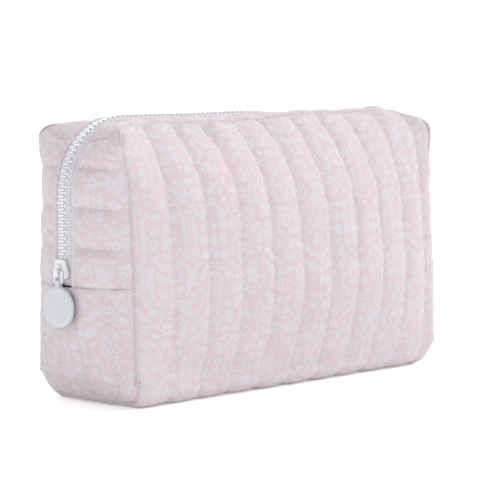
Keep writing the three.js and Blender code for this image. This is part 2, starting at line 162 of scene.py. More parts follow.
def wall_skin(mark, down, side):
    """mark is the place along the bag on the cut cloth.

    down is 0 at the top seam, 1 at the fold, 2 and 3 at the ends of the roll, and 4 at the middle of the base.
    """
    z_upper = lerp(SEAM_TOP, FOLD_HEIGHT, np.minimum(down, 1))
    pinch = SEAM_CORNER - np.sqrt(SEAM_CORNER**2 - np.maximum(0, z_upper - SEAM_TOP + SEAM_CORNER) ** 2)
    x_upper = mark - np.sign(mark) * pinch * np.abs(mark / SEAM_HALF_LENGTH) ** 3
    y_upper = seam_depth(x_upper, z_upper) + wall_puff(x_upper, z_upper)
    v = np.maximum(down - 1, 0)
    turn = np.clip(v - 1, 0, 1) * np.pi / 2
    rolled = UNDER_RADIUS * (1 - np.sin(turn) ** ROLL_SQUARENESS)
    z = np.where(v < 1, lerp(FOLD_HEIGHT, UNDER_RADIUS, v), rolled)
    u = mark / SEAM_HALF_LENGTH
    seam = u * lerp(BASE_END, SEAM_HALF_LENGTH, swell(z / UNDER_RADIUS))
    low = np.maximum(0, 1 - z / UNDER_RADIUS)
    wall = half_depth(z) + wall_puff(seam, z)
    under = UNDER_RADIUS * (1 - np.cos(turn) ** ROLL_SQUARENESS)
    y = (wall - under) * (1 - np.maximum(0, v - 2))
    x = seam + u * BASE_END_PUFF * low * puff_across(y / wall)
    z = z + base_rise(seam) * low
    x, y, z = (np.where(down < 1, above, below) for above, below in ((x_upper, x), (y_upper, y), (z_upper, z)))
    return np.stack([x, side * y, z], -1)


def end_skin(share, down, end):
    """share is -1 at the front seam and 1 at the back one; down is 0 at the fold, 1 at the roll and 2 at the foot."""
    seam = wall_skin(np.full_like(down, SEAM_HALF_LENGTH), 1 + down, 1)
    foot = wall_skin(np.full_like(share, SEAM_HALF_LENGTH), 4 - np.abs(share), 1)
    corner = wall_skin(np.full_like(share, SEAM_HALF_LENGTH), np.full_like(share, 3.0), 1)
    z = seam[..., 2]
    own = smooth((z - 2.6) / 6)
    bulge = lerp(foot[..., 0] - corner[..., 0], end_puff(z) * puff_across(share), own)
    return np.stack([end * (seam[..., 0] + bulge), share * seam[..., 1], z + 0 * share], -1)


# ---- Soft irregularities ----
def lattice_noise(x, y, seed):
    """Smooth noise from -1 to 1, one cell to a unit."""
    table = np.random.RandomState(seed).uniform(-1, 1, (64, 64))
    x, y = np.broadcast_arrays(np.asarray(x, float), np.asarray(y, float))
    column, row = np.floor(x).astype(int), np.floor(y).astype(int)
    fx, fy = x - column, y - row
    fx, fy = (f * f * f * (f * (6 * f - 15) + 10) for f in (fx, fy))
    at = lambda i, j: table[(column + i) % 64, (row + j) % 64]
    return lerp(lerp(at(0, 0), at(1, 0), fx), lerp(at(0, 1), at(1, 1), fx), fy)


def folds(x, y, seed):
    """Two octaves of noise, sharpened a little into creases."""
    return 0.7 * lattice_noise(x, y, seed) + 0.3 * (1 - 2 * np.abs(lattice_noise(2.1 * x, 2.1 * y, seed + 1)))


def wander(points):
    """The slow sway of hand-sewn cloth, the same for everything sewn together. The zip's left end hangs true."""
    x, y, z = points[..., 0], points[..., 1], points[..., 2]
    true = smooth((x + 128) / 12) * smooth(z / 12)
    sway = [
        0.5 * lattice_noise(x / 46 + 7, z / 38 + y / 90, 3),
        0.9 * lattice_noise(x / 52, z / 44 + 5 + y / 90, 5),
        0.5 * lattice_noise(x / 58 + 3, y / 50 + 2, 9) * smooth((z - 60) / 50),
    ]
    # The front's padded top stands over the zip towards the right end, and the zip sags behind it.
    along = smooth((x + 10) / 50) * smooth((122 - x) / 26) * smooth((z - 118) / 26)
    padded = smooth((-y - 4) / 7) * smooth((46 + y) / 26)
    sagged = smooth((8 - np.abs(y)) / 7)
    sway[2] = sway[2] + along * (3.2 * padded - 1.6 * sagged)
    # Seam allowances gathered in the four top corners push them outwards, and up behind.
    off_corner = ((np.abs(x) - 121) / 15) ** 2 + ((np.abs(y) - 30) / 13) ** 2 + ((z - 144) / 15) ** 2
    corner = np.exp(-off_corner)
    moved = [amount * true for amount in sway]
    moved[0] = moved[0] + np.where(y > 0, 4.6, 2.6) * np.sign(x) * corner
    moved[2] = moved[2] + 1.8 * smooth(y / 20) * corner
    return np.stack(moved, -1)


def lengths_along(points):
    """How far each point lies along the line through them all."""
    return np.concatenate([[0], np.cumsum(np.linalg.norm(np.diff(points, axis=0), axis=1))])


def places_along(stations, reached, points):
    return np.stack([np.interp(stations, reached, points[:, k]) for k in range(3)], -1)


def nearest(values, lines):
    return np.min([np.abs(values - line) for line in lines], axis=0)


def pillow(gap, half_channel, deep=1.0, full=2.2):
    """Height of a quilted channel, gap away from its stitching."""
    t = np.clip(gap / half_channel, 0, 1)
    return -deep + full * (1 - (1 - t) ** 3.0)


def seam_roll(gap, deep=2.2, reach=1.5):
    """The cloth's edge, rolled into a seam gap away."""
    return -deep * np.exp(-((gap / reach) ** 2))


# ---- Mesh makers ----
def make_object(name, points, faces, material, uvs=None, smooth_faces=True):
    """A mesh of four-sided faces, from millimetres."""
    mesh = bpy.data.meshes.new(name)
    points = np.asarray(points, np.float32).reshape(-1, 3) * MM
    corners = np.asarray(faces, np.int32).ravel()
    mesh.vertices.add(len(points))
    mesh.vertices.foreach_set("co", points.ravel())
    mesh.loops.add(len(corners))
    mesh.loops.foreach_set("vertex_index", corners)
    mesh.polygons.add(len(faces))
    mesh.polygons.foreach_set("loop_start", np.arange(0, len(corners), 4, dtype=np.int32))
    if uvs is not None:
        layer = mesh.uv_layers.new(name="cloth")
        layer.data.foreach_set("uv", np.asarray(uvs, np.float32).reshape(-1, 2)[corners].ravel())
    mesh.update(calc_edges=True)
    mesh.validate()
    mesh.polygons.foreach_set("use_smooth", np.full(len(mesh.polygons), smooth_faces))
    mesh.materials.append(material)
    piece = bpy.data.objects.new(name, mesh)
    bpy.context.scene.collection.objects.link(piece)
    return piece


def grid_normals(points):
    along, across = np.gradient(points, axis=0), np.gradient(points, axis=1)
    normal = np.cross(along, across)
    normal /= np.linalg.norm(normal, axis=-1, keepdims=True) + 1e-12
    outward = np.sum(normal * (points - INSIDE), axis=-1)
    return normal * np.sign(np.sum(outward))


def tube_faces(rows, count):
    """Closed rings of an even count of points, one after another, with both ends capped."""
    a = (np.arange(rows - 1)[:, None] * count + np.arange(count)).ravel()
    b = (np.arange(rows - 1)[:, None] * count + np.roll(np.arange(count), -1)).ravel()
    cap = np.array([(n, n + 1, count - 2 - n, count - 1 - n) for n in range(count // 2 - 1)])
    return np.concatenate([np.stack([a, b, b + count, a + count], -1), cap[:, ::-1], cap + (rows - 1) * count])


def shell_faces(rows, columns):
    """The two faces of a sheet and the rim between them."""
    count = rows * columns
    a = (np.arange(rows - 1)[:, None] * columns + np.arange(columns - 1)).ravel()
    sheet = np.stack([a, a + columns, a + columns + 1, a + 1], -1)
    ring = np.concatenate([
        np.arange(0, columns - 1),
        np.arange(columns - 1, count - 1, columns),
        np.arange(count - 1, count - columns, -1),
        np.arange(count - columns, 0, -columns),
    ])
    after = np.roll(ring, -1)
    rim = np.stack([ring, after, after + count, ring + count], -1)
    return np.concatenate([sheet, sheet[:, ::-1] + count, rim])


def facing_out(points, faces):
    a, b, c, d = (points[faces[:, k]] for k in range(4))
    volume = np.sum(a * np.cross(b, c)) + np.sum(a * np.cross(c, d))
    return faces if volume > 0 else faces[:, ::-1]


class Panel:
    """A piece of layered cloth over a grid of stations, kept so that stitching can be laid on it."""

    def __init__(self, name, skin, us, vs, lift, thickness, material, uv, inner=0.0):
        self.us, self.vs = np.asarray(us, float), np.asarray(vs, float)
        u, v = np.meshgrid(self.us, self.vs, indexing="ij")
        base = skin(u, v)
        normal = grid_normals(base)
        sway = wander(base)
        self.outer = base + normal * (lift(u, v) - inner)[..., None] + sway
        self.normal = grid_normals(self.outer)
        depth = thickness(u, v) if callable(thickness) else np.full_like(u, thickness)
        under = base + normal * (-inner - depth)[..., None] + sway
        rows, columns = u.shape
        points = np.concatenate([self.outer.reshape(-1, 3), under.reshape(-1, 3)])
        faces = facing_out(points, shell_faces(rows, columns))
        flat = np.stack(uv(u, v), -1).reshape(-1, 2)
        self.piece = make_object(name, points, faces, material, np.concatenate([flat, flat]))

    def at(self, u, v):
        """Places and outward directions on the panel."""
        i = np.interp(u, self.us, np.arange(len(self.us)))
        j = np.interp(v, self.vs, np.arange(len(self.vs)))
        low_i = np.minimum(i.astype(int), len(self.us) - 2)
        low_j = np.minimum(j.astype(int), len(self.vs) - 2)
        fi, fj = (i - low_i)[:, None], (j - low_j)[:, None]

        def between(grid):
            near = lerp(grid[low_i, low_j], grid[low_i + 1, low_j], fi)
            far = lerp(grid[low_i, low_j + 1], grid[low_i + 1, low_j + 1], fi)
            return lerp(near, far, fj)

        return between(self.outer), between(self.normal)


# Where along a stitch its sections lie, and how high and how thick it is at each.
STITCH_SECTIONS = np.array([0.0, 0.12, 0.35, 0.65, 0.88, 1.0])
STITCH_HEIGHTS = np.array([-2.2, 0.2, 1, 1, 0.2, -2.2])
STITCH_SIZES = np.array([0.25, 0.85, 1, 1, 0.85, 0.25])
STITCH_TURNS = np.arange(6)[:, None] * math.pi / 3
STITCH_FACES = tube_faces(6, 6)[:, ::-1]


def stitch_row(panel, us, vs, pitch=STITCH_PITCH, share=0.8, radius=0.22, rise=0.17):
    """Thread lying on a panel along a line of stations: one rounded stitch to each pitch."""
    places, normals = panel.at(np.asarray(us, float), np.asarray(vs, float))
    reached = lengths_along(places)
    count = max(1, int(reached[-1] / pitch))
    starts = (np.arange(count) + (1 - share) / 2) * reached[-1] / count
    length = share * reached[-1] / count
    parts = []
    for start in starts:
        stations = start + length * STITCH_SECTIONS
        centre, up = (places_along(stations, reached, values) for values in (places, normals))
        along = centre[-1] - centre[0]
        along /= np.linalg.norm(along) + 1e-9
        side = np.cross(along, up)
        side /= np.linalg.norm(side, axis=-1, keepdims=True)
        centre = centre + up * (rise * STITCH_HEIGHTS)[:, None]
        ring = side[:, None] * np.cos(STITCH_TURNS) + up[:, None] * np.sin(STITCH_TURNS)
        ring = centre[:, None] + ring * (radius * STITCH_SIZES)[:, None, None]
        parts.append((ring.reshape(-1, 3), STITCH_FACES))
    return merge(parts)


def merge(parts):
    points, faces, total = [], [], 0
    for own_points, own_faces in parts:
        points.append(own_points)
        faces.append(own_faces + total)
        total += len(own_points)
    return np.concatenate(points), np.concatenate(faces)


def stitching(name, rows, material):
    return make_object(name, *merge(rows), material)


def even(start, stop, step):
    return np.linspace(start, stop, max(2, int(round(abs(stop - start) / step)) + 1))


def close_to(lines, low, high, fine, coarse, reach):
    """Stations from low to high, fine within reach of each line and coarse elsewhere."""
    edges = [low]
    for line in sorted(lines):
        edges += [line - reach, line + reach]
    edges = [e for e in edges + [high] if low <= e <= high]
    near_lines = list(lines) + [low - reach * 0.99, high + reach * 0.99]
    stations = [low]
    for a, b in zip(edges[:-1], edges[1:]):
        if b - a < 1e-6:
            continue
        near = nearest(np.array([(a + b) / 2]), near_lines)[0] <= reach
        stations += list(even(a, b, fine if near else coarse)[1:])
    return np.array(stations)


# ---- Materials ----
class Wiring:
    """Short ways to set nodes in a tree."""

    def __init__(self, tree):
        self.tree = tree

    def put(self, socket, value):
        if isinstance(value, bpy.types.NodeSocket):
            self.tree.links.new(value, socket)
        elif value is not None:
            socket.default_value = value

    def node(self, kind, *values, settings=None, **named):
        node = self.tree.nodes.new("ShaderNode" + kind)
        for key, value in (settings or {}).items():
            setattr(node, key, value)
        for socket, value in zip(node.inputs, values):
            self.put(socket, value)
        for key, value in named.items():
            self.put(node.inputs[key.replace("_", " ")], value)
        return node

    def math(self, operation, *values, clamp=False):
        return self.node("Math", *values, settings={"operation": operation, "use_clamp": clamp}).outputs[0]

    def vector(self, operation, *values):
        node = self.node("VectorMath", *values, settings={"operation": operation})
        return node.outputs["Value"] if operation in ("LENGTH", "DOT_PRODUCT", "DISTANCE") else node.outputs["Vector"]

    def scaled(self, vector, scale):
        node = self.node("VectorMath", vector, settings={"operation": "SCALE"})
        self.put(node.inputs["Scale"], scale)
        return node.outputs["Vector"]

    def ramp(self, value, low, high, to_low=0.0, to_high=1.0, kind="SMOOTHSTEP"):
        node = self.node("MapRange", value, low, high, to_low, to_high, settings={"interpolation_type": kind})
        return node.outputs["Result"]

    def mix(self, share, a, b):
        node = self.node("Mix", settings={"data_type": "RGBA"})
        for socket, value in zip((node.inputs[0], node.inputs[6], node.inputs[7]), (share, a, b)):
            self.put(socket, value)
        return node.outputs[2]

    def noise(self, vector, scale, detail=2.0, roughness=0.5):
        return self.node("TexNoise", Vector=vector, Scale=scale, Detail=detail, Roughness=roughness).outputs["Fac"]


def node_group(name, build, outputs, **inputs):
    """A shared effect at a place. Its other inputs have defaults, and its outputs are single values."""
    tree = bpy.data.node_groups.new(name, "ShaderNodeTree")
    tree.interface.new_socket(name="Place", in_out="INPUT", socket_type="NodeSocketVector")
    for label, default in inputs.items():
        socket = tree.interface.new_socket(name=label, in_out="INPUT", socket_type="NodeSocketFloat")
        socket.default_value = default
    for label in outputs:
        tree.interface.new_socket(name=label, in_out="OUTPUT", socket_type="NodeSocketFloat")
    entry, leave = tree.nodes.new("NodeGroupInput"), tree.nodes.new("NodeGroupOutput")
    for label, socket in build(Wiring(tree), entry.outputs).items():
        tree.links.new(socket, leave.inputs[label])
    return tree


def shape_place(w, place, x, y, turn, length, width):
    """The place as a shape sees it: 1 at the shape's own length and width."""
    local = w.node("Mapping", place, settings={"vector_type": "TEXTURE"})
    local.inputs["Location"].default_value = (x, y, 0)
    local.inputs["Rotation"].default_value = (0, 0, math.radians(turn))
    local.inputs["Scale"].default_value = (length, width, 1)
    return local.outputs[0]


def leaf(w, place, x, y, turn, length, width):
    """Below 1 inside a pointed leaf. A broad one has its vein left open along the middle."""
    split = w.node("SeparateXYZ", shape_place(w, place, x, y, turn, length, width))
    wide = w.math("ABSOLUTE", split.outputs[1])
    body = w.math("MULTIPLY_ADD", split.outputs[0], split.outputs[0], wide)
    vein = w.math("SUBTRACT", 1.09, wide)
    return w.math("MAXIMUM", body, vein) if width > 1.9 else body


def bud(w, place, x, y, turn, length, width):
    """Below 1 inside an oval."""
    return w.vector("LENGTH", shape_place(w, place, x, y, turn, length, width))


def blossom(w, place, x, y, size, petals):
    """Below 1 inside an open flower with an eye."""
    away = w.vector("SUBTRACT", place, (x, y, 0))
    radius = w.math("DIVIDE", w.vector("LENGTH", away), size)
    split = w.node("SeparateXYZ", away)
    angle = w.math("ARCTAN2", split.outputs[1], split.outputs[0])
    wave = w.math("COSINE", w.math("MULTIPLY", angle, float(petals)))
    body = w.math("MULTIPLY_ADD", wave, -0.26, radius)
    eye = w.math("SUBTRACT", 1.22, radius)
    return w.math("MAXIMUM", w.math("MULTIPLY_ADD", body, 0.9, 0.12), eye)


def bouquet(w, place, leaves, buds, blossoms):
    """Every shape of a pattern's cell together, below 1 inside any of them."""
    joined = None
    for make, shapes in ((leaf, leaves), (bud, buds), (blossom, blossoms)):
        for values in shapes:
            shape = make(w, place, *values)
            joined = shape if joined is None else w.math("MINIMUM", joined, shape)
    return joined


def repeat_cell(w, place, width, height, shift_x, shift_y):
    """Each cell's own place, mirrored about its upright middle line.

    Every other row steps half a cell along and hangs upside down.
    """
    split = w.node("SeparateXYZ", place)
    y = w.math("ADD", split.outputs[1], shift_y)
    row = w.math("FLOOR", w.math("DIVIDE", y, height))
    step = w.math("MULTIPLY", w.math("FLOORED_MODULO", row, 2.0), width / 2)
    x = w.math("ADD", w.math("ADD", split.outputs[0], shift_x), step)
    local_x = w.math("SUBTRACT", w.math("FLOORED_MODULO", x, width), width / 2)
    local_y = w.math("SUBTRACT", w.math("FLOORED_MODULO", y, height), height / 2)
    turned = w.math("MULTIPLY_ADD", w.math("FLOORED_MODULO", row, 2.0), -2.0, 1.0)
    return w.node("CombineXYZ", w.math("ABSOLUTE", local_x), w.math("MULTIPLY", local_y, turned)).outputs[0]


# Each pattern's shapes in its cell, in millimetres and degrees.
# Leaves and buds: x, y, turn, length, width. Blossoms: x, y, size, petals.
TREE_LEAVES = (
    (6.2, -20.5, 32, 7.2, 2.7), (6.4, -11.5, 36, 7.2, 2.7), (6.0, -2.5, 40, 6.8, 2.5), (5.2, 6.0, 46, 6.0, 2.3),
    (4.4, 13.0, 54, 5.2, 2.0), (3.0, 21.5, 72, 6.2, 2.6), (8.6, -28.2, -8, 8.2, 2.4), (17.5, -25.0, 58, 6.4, 2.5),
    (14.2, -17.0, 96, 5.6, 1.9), (14.2, -5.6, 128, 5.4, 2.2), (21.4, -4.4, 70, 5.4, 2.2),
    (20.6, 6.6, 112, 6.0, 2.4), (11.6, 14.0, 24, 5.8, 2.1), (19.2, 16.6, 148, 5.4, 2.1),
    (19.4, 25.6, 62, 6.4, 2.5), (4.0, 29.4, 8, 4.6, 1.8), (3.4, -29.4, 62, 3.4, 1.5),
)
TREE_BUDS = (
    (0, -6, 90, 24, 0.75), (0, 21.8, 90, 5.0, 1.5), (12.9, -22.8, 0, 1.5, 1.5), (24.0, -19.8, 0, 1.4, 1.4),
    (10.6, -0.4, 0, 1.3, 1.3), (17.6, 0.8, 0, 1.5, 1.5), (23.8, 12.2, 0, 1.6, 1.6), (15.2, 19.8, 0, 1.4, 1.4),
    (9.0, 18.4, 0, 1.2, 1.2), (16.0, 29.8, 0, 1.5, 1.5), (23.4, 19.8, 0, 1.5, 1.5),
    (12.5, -32, 0, 4.4, 3.2), (25, -31, 90, 2.4, 2.6), (16.2, -9.6, 40, 3.4, 2.3),
)
TREE_BLOSSOMS = ((19.6, -13.6, 4.4, 5), (13.8, 4.6, 3.9, 6), (11.0, 23.6, 4.2, 5))
MEADOW_LEAVES = (
    *((3.7, -15 + 4 * i, 52, 4.4 - 0.2 * i, 1.3) for i in range(7)),
    (12.6, 3.0, 35, 5.4, 2.3), (19.5, 3.6, 90, 4.2, 1.7), (7.2, 13.4, 130, 3.6, 1.4), (18.4, 19.4, 60, 4.6, 1.8),
    (9.0, 19.8, 155, 4.2, 1.7), (18.6, -14.2, 115, 4.2, 1.8), (6.0, -21.0, 20, 5.0, 1.8),
)
MEADOW_BUDS = (
    (0, -3, 90, 17, 0.6), (13.2, 11.5, 70, 4.6, 3.5), (11.8, -15.5, 25, 4.8, 3.0), (19.5, -6.0, 90, 4.4, 3.2),
    (17.8, -20.8, 0, 1.5, 1.5),
)
MEADOW_BLOSSOMS = ((0, 16.5, 4.6, 8), (11.4, -5.2, 4.0, 7))
PRINT_SCALE = 1.22
PRINT_SWAY = 3.2
PATCH_SHRINK = 0.8


def print_nodes(w, entry):
    bent = w.node("TexNoise", Vector=entry["Place"], Scale=0.06, Detail=1.0)
    sway = w.scaled(w.vector("SUBTRACT", bent.outputs["Color"], (0.5, 0.5, 0.5)), PRINT_SWAY)
    place = w.scaled(w.vector("ADD", entry["Place"], sway), PRINT_SCALE)
    tree = bouquet(w, repeat_cell(w, place, 50.0, 64.0, 0.0, 6.0), TREE_LEAVES, TREE_BUDS, TREE_BLOSSOMS)
    meadow = bouquet(w, repeat_cell(w, place, 39.0, 45.0, 11.0, 17.0), MEADOW_LEAVES, MEADOW_BUDS, MEADOW_BLOSSOMS)
    # The two patterns give way to each other in patches, their shapes shrinking towards the change.
    share = w.ramp(w.noise(place, 0.03, 1.0), 0.44, 0.56)
    tree = w.math("MULTIPLY_ADD", share, PATCH_SHRINK, tree)
    meadow = w.math("MULTIPLY_ADD", w.math("SUBTRACT", 1.0, share), PATCH_SHRINK, meadow)
    motif = w.ramp(w.math("MINIMUM", tree, meadow), 1.08, 0.88)
    # Pin dots fill the ground between the sprigs.
    dots = w.node("TexVoronoi", Vector=place, Scale=0.29, Randomness=0.7)
    dot = w.ramp(dots.outputs["Distance"], 0.30, 0.22)
    chosen = w.ramp(w.node("SeparateColor", dots.outputs["Color"]).outputs[0], 0.34, 0.36)
    speck = w.math("MULTIPLY", w.math("MULTIPLY", dot, chosen), 0.8)
    return {"Motif": w.math("MAXIMUM", motif, speck)}


PRINT = node_group("Sprig print", print_nodes, ("Motif",))


def weave_nodes(w, entry):
    split = w.node("SeparateXYZ", w.scaled(entry["Place"], w.math("DIVIDE", 2 * math.pi, entry["Pitch"])))
    warp, weft = (w.math("SINE", split.outputs[k]) for k in (0, 1))
    crossing = w.math("MULTIPLY", warp, weft)
    slub = w.noise(entry["Place"], 1.4, 2.0, 0.6)
    height = w.math("MULTIPLY_ADD", crossing, 0.35, w.math("MULTIPLY_ADD", slub, 0.5, 0.35))
    # Shade is painted shade: the colour is made darker, down to 0.94, where the weave lies low, in its hollows.
    return {"Height": height, "Shade": w.ramp(height, 0.2, 1.0, 0.94, 1.0, "LINEAR")}


WEAVE = node_group("Plain weave", weave_nodes, ("Height", "Shade"), Pitch=0.5)


def crumple_nodes(w, entry):
    long_way = w.vector("MULTIPLY", entry["Place"], (0.11, 0.05, 0.1))
    short_way = w.vector("MULTIPLY", entry["Place"], (0.22, 0.3, 0.2))
    a = w.noise(long_way, 1.0, 3.0, 0.55)
    b = w.noise(short_way, 1.0, 2.0, 0.5)
    height = w.math("ADD", w.math("MULTIPLY", a, 0.65), w.math("MULTIPLY", b, 0.35))
    # Shade is painted shade: the colour darkens, down to 0.965, where noise a, and so the crumple's bump, lies low.
    return {"Height": height, "Shade": w.ramp(a, 0.3, 0.7, 0.965, 1.0, "LINEAR")}


CRUMPLE = node_group("Soft crumple", crumple_nodes, ("Height", "Shade"))


def grain_nodes(w, entry):
    fine = w.noise(entry["Place"], entry["Scale"], 4.0, 0.6)
    worn = w.noise(w.vector("MULTIPLY", entry["Place"], (0.13, 0.13, 0.13)), entry["Scale"], 3.0, 0.6)
    return {
        "Height": fine,
        "Shade": w.ramp(worn, 0.35, 0.7, 0.95, 1.0, "LINEAR"),
        "Roughness": w.math("MULTIPLY_ADD", fine, 0.16, w.math("MULTIPLY_ADD", worn, 0.14, entry["Roughness"])),
    }


GRAIN = node_group("Moulded grain", grain_nodes, ("Height", "Shade", "Roughness"), Scale=1.0, Roughness=0.3)


def colour(red, green, blue):
    """A display colour, as the shader's linear one."""
    shown = (red / 255, green / 255, blue / 255)
    return (*((c / 12.92 if c <= 0.04045 else ((c + 0.055) / 1.055) ** 2.4) for c in shown), 1.0)


def new_material(name):
    material = bpy.data.materials.new(name)
    material.use_nodes = True
    tree = material.node_tree
    shader = tree.nodes["Principled BSDF"]
    return material, Wiring(tree), shader


def use(w, group, **values):
    node = w.tree.nodes.new("ShaderNodeGroup")
    node.node_tree = group
    for key, value in values.items():
        w.put(node.inputs[key], value)
    return node.outputs


def dress(w, shader, **values):
    """Set the shader's own sockets, spaces in their names written as underscores."""
    for key, value in values.items():
        w.put(shader.inputs[key.replace("_", " ")], value)


def bump(w, height, strength, distance, under=None):
    node = w.node("Bump", Strength=strength, Distance=distance, Height=height)
    if under is not None:
        w.tree.links.new(under, node.inputs["Normal"])
    return node.outputs[0]


# Multiplies a colour by each shade: painted shade in the hollows of weave and crumple, or the moulded grain's wear
# tone.
def shaded(w, base, *shades):
    for shade in shades:
        grey = w.node("CombineColor", shade, shade, shade).outputs[0]
        node = w.node("Mix", settings={"data_type": "RGBA", "blend_type": "MULTIPLY"})
        node.inputs[0].default_value = 1.0
        w.put(node.inputs[6], base)
        w.put(node.inputs[7], grey)
        base = node.outputs[2]
    return base


def cloth_place(w):
    """Millimetres on the cut cloth."""
    return w.node("UVMap", settings={"uv_map": "cloth"}).outputs[0]


def solid_place(w):
    """Millimetres in space."""
    return w.vector("MULTIPLY", w.node("TexCoord").outputs["Object"], (1 / MM, 1 / MM, 1 / MM))


def darker(base, share):
    return tuple(c * share for c in base[:3]) + (1.0,)


def printed_cotton():
    material, w, shader = new_material("Printed cotton")
    place = cloth_place(w)
    motif = use(w, PRINT, Place=place)["Motif"]
    weave = use(w, WEAVE, Place=place, Pitch=0.55)
    crumple = use(w, CRUMPLE, Place=place)
    ink = w.math("MULTIPLY", motif, w.ramp(w.noise(place, 0.9, 3.0, 0.7), 0.25, 0.6, 0.86, 1.0))
    base = w.mix(ink, PINK, MOTIF_WHITE)
    soft = bump(w, crumple["Height"], 0.9, 0.0011)
    # The printed colour carries painted shade in the hollows of the weave and of the crumples.
    dress(
        w, shader,
        Base_Color=shaded(w, base, weave["Shade"], crumple["Shade"]),
        Roughness=w.ramp(crumple["Height"], 0.3, 0.7, 0.72, 0.86, "LINEAR"),
        Normal=bump(w, weave["Height"], 0.5, 0.00007, soft),
        Sheen_Weight=0.12,
        Sheen_Roughness=0.4,
        Specular_IOR_Level=0.25,
    )
    return material


def woven(name, base, pitch, rough, depth):
    material, w, shader = new_material(name)
    place = cloth_place(w)
    weave = use(w, WEAVE, Place=place, Pitch=pitch)
    crumple = use(w, CRUMPLE, Place=place)
    # Painted shade: the cloth is coloured darker, to 0.86, where the weave lies low, and then takes the crumple's
    # painted shade as well.
    tint = w.mix(w.ramp(weave["Height"], 0.2, 0.9), darker(base, 0.86), base)
    soft = bump(w, crumple["Height"], 0.5, 0.0005)
    dress(
        w, shader,
        Base_Color=shaded(w, tint, crumple["Shade"]),
        Roughness=w.ramp(weave["Height"], 0.2, 0.9, rough, rough + 0.12, "LINEAR"),
        Normal=bump(w, weave["Height"], 0.8, depth, soft),
        Sheen_Weight=0.1,
        Specular_IOR_Level=0.3,
    )
    return material


def moulded(name, base, rough, scale, depth, coat=0.0):
    material, w, shader = new_material(name)
    place = solid_place(w)
    grain = use(w, GRAIN, Place=place, Scale=scale, Roughness=rough)
    dress(
        w, shader,
        Base_Color=shaded(w, base, grain["Shade"]),
        Roughness=grain["Roughness"],
        Normal=bump(w, grain["Height"], 0.5, depth),
        Coat_Weight=coat,
        Coat_Roughness=0.18,
    )
    return material


def thread(name, base):
    material, w, shader = new_material(name)
    slanted = {"bands_direction": "DIAGONAL"}
    ply = w.node("TexWave", Vector=solid_place(w), Scale=1.6, Distortion=0.6, settings=slanted)
    twist = ply.outputs["Fac"]
    # Painted shade: the thread is coloured darker, to 0.84, in the low bands of its twist, where the bump sinks.
    dress(
        w, shader,
        Base_Color=w.mix(twist, darker(base, 0.84), base),
        Roughness=w.ramp(twist, 0.0, 1.0, 0.5, 0.62, "LINEAR"),
        Normal=bump(w, twist, 0.6, 0.00008),
        Sheen_Weight=0.15,
    )
    return material


PINK = colour(208, 192, 197)
MOTIF_WHITE = colour(205, 204, 209)
COTTON = printed_cotton()
LINING = woven("Pink lining cloth", colour(238, 205, 213), 0.4, 0.6, 0.00006)
BINDING_CLOTH = woven("Cotton binding", colour(240, 214, 220), 0.6, 0.75, 0.0001)
TAPE_CLOTH = woven("Zip tape", colour(210, 212, 218), 0.7, 0.7, 0.00012)
THREAD = thread("Quilting thread", colour(238, 224, 230))
TEETH = moulded("Moulded zip teeth", colour(226, 227, 230), 0.28, 1.1, 0.00003, coat=0.25)
PAINT = moulded("White painted metal", colour(224, 225, 228), 0.24, 0.5, 0.00004, coat=0.6)
RUBBER = moulded("Soft moulded puller", colour(202, 205, 209), 0.38, 2.2, 0.00004)

SIDES = (("front", -1), ("back", 1))
ENDS = (("left", -1), ("right", 1))


def bend_with(piece):
    """Bakes the piece's placement into its mesh."""
    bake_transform(piece)


def slots_of(panel, threads, lining):
    return (panel.piece, "printed_cotton"), (threads, "printed_cotton"), (lining.piece, "pink_lining")


# ---- Front and back panels: top seam, down the wall, under the roll and to the middle of the base ----
DOWN = np.linspace(0, 4, 801)
MIDDLE_LINE = wall_skin(np.zeros_like(DOWN), DOWN, 1)
DOWN_LENGTH = lengths_along(MIDDLE_LINE)
CLOTH_LENGTH = DOWN_LENGTH[-1]


# Lengths down the wall where it starts to draw in, where it rolls under, and where it lies beneath.
LOWER_FROM, ROLL_AT, UNDER_FROM = 100, 146, 158
OUTER_CHANNEL = 12.7


def wall_length(down):
    return np.interp(down, DOWN, DOWN_LENGTH)


def quilt_sway(length, seed):
    return 0.9 * lattice_noise(length / 55, 0.5, seed)


def wall_lift(seed):
    def lift(mark, down):
        length = wall_length(down)
        swayed = mark + quilt_sway(length, seed)
        to_line = nearest(swayed, WALL_QUILT)
        to_side = SEAM_HALF_LENGTH - np.abs(mark)
        channel = np.where(np.abs(swayed) > WALL_QUILT[-1], OUTER_CHANNEL, QUILT_PITCH / 2)
        height = pillow(np.minimum(to_line, to_side + 2), channel)
        under = smooth((length - UNDER_FROM) / 22)
        height = lerp(height, height * 0.55 - 0.1, smooth((length - LOWER_FROM) / 50))
        height = lerp(height, height * 0.5 - 0.5, under)
        near_top = np.exp(-length / 26)
        gather = folds(mark / 8.5 + length * 0.012, length / 60, seed + 20)
        sway_gather = folds(mark / 15 + length * 0.03, length / 34, seed + 22)
        height = height + near_top * (1.7 * gather + 1.1 * sway_gather)
        pucker = lattice_noise(mark / 7, length / 3.2, seed + 30) * np.exp(-to_line / 4.5)
        height = height + 0.34 * pucker * (1 - 0.6 * under)
        drag = folds(mark / 26 + length / 48, length / 21 - mark / 90, seed + 40)
        height = height + 0.5 * drag * (1 - under)
        roll_fold = np.exp(-(((length - ROLL_AT) / 13) ** 2))
        height = height + 0.8 * roll_fold * folds(mark / 12, length / 9, seed + 50)
        side_pucker = np.exp(-to_side / 7) * lattice_noise(length / 7.5, mark / 30, seed + 60)
        height = height + 0.55 * side_pucker
        fade = smooth(to_side / 5) * smooth(length / 3)
        return height * lerp(0.25, 1, fade) + seam_roll(to_side) + seam_roll(length)

    return lift


def quilt_thickness(gap):
    return lerp(SEAM_THICKNESS, QUILT_THICKNESS, smooth(gap / 9))


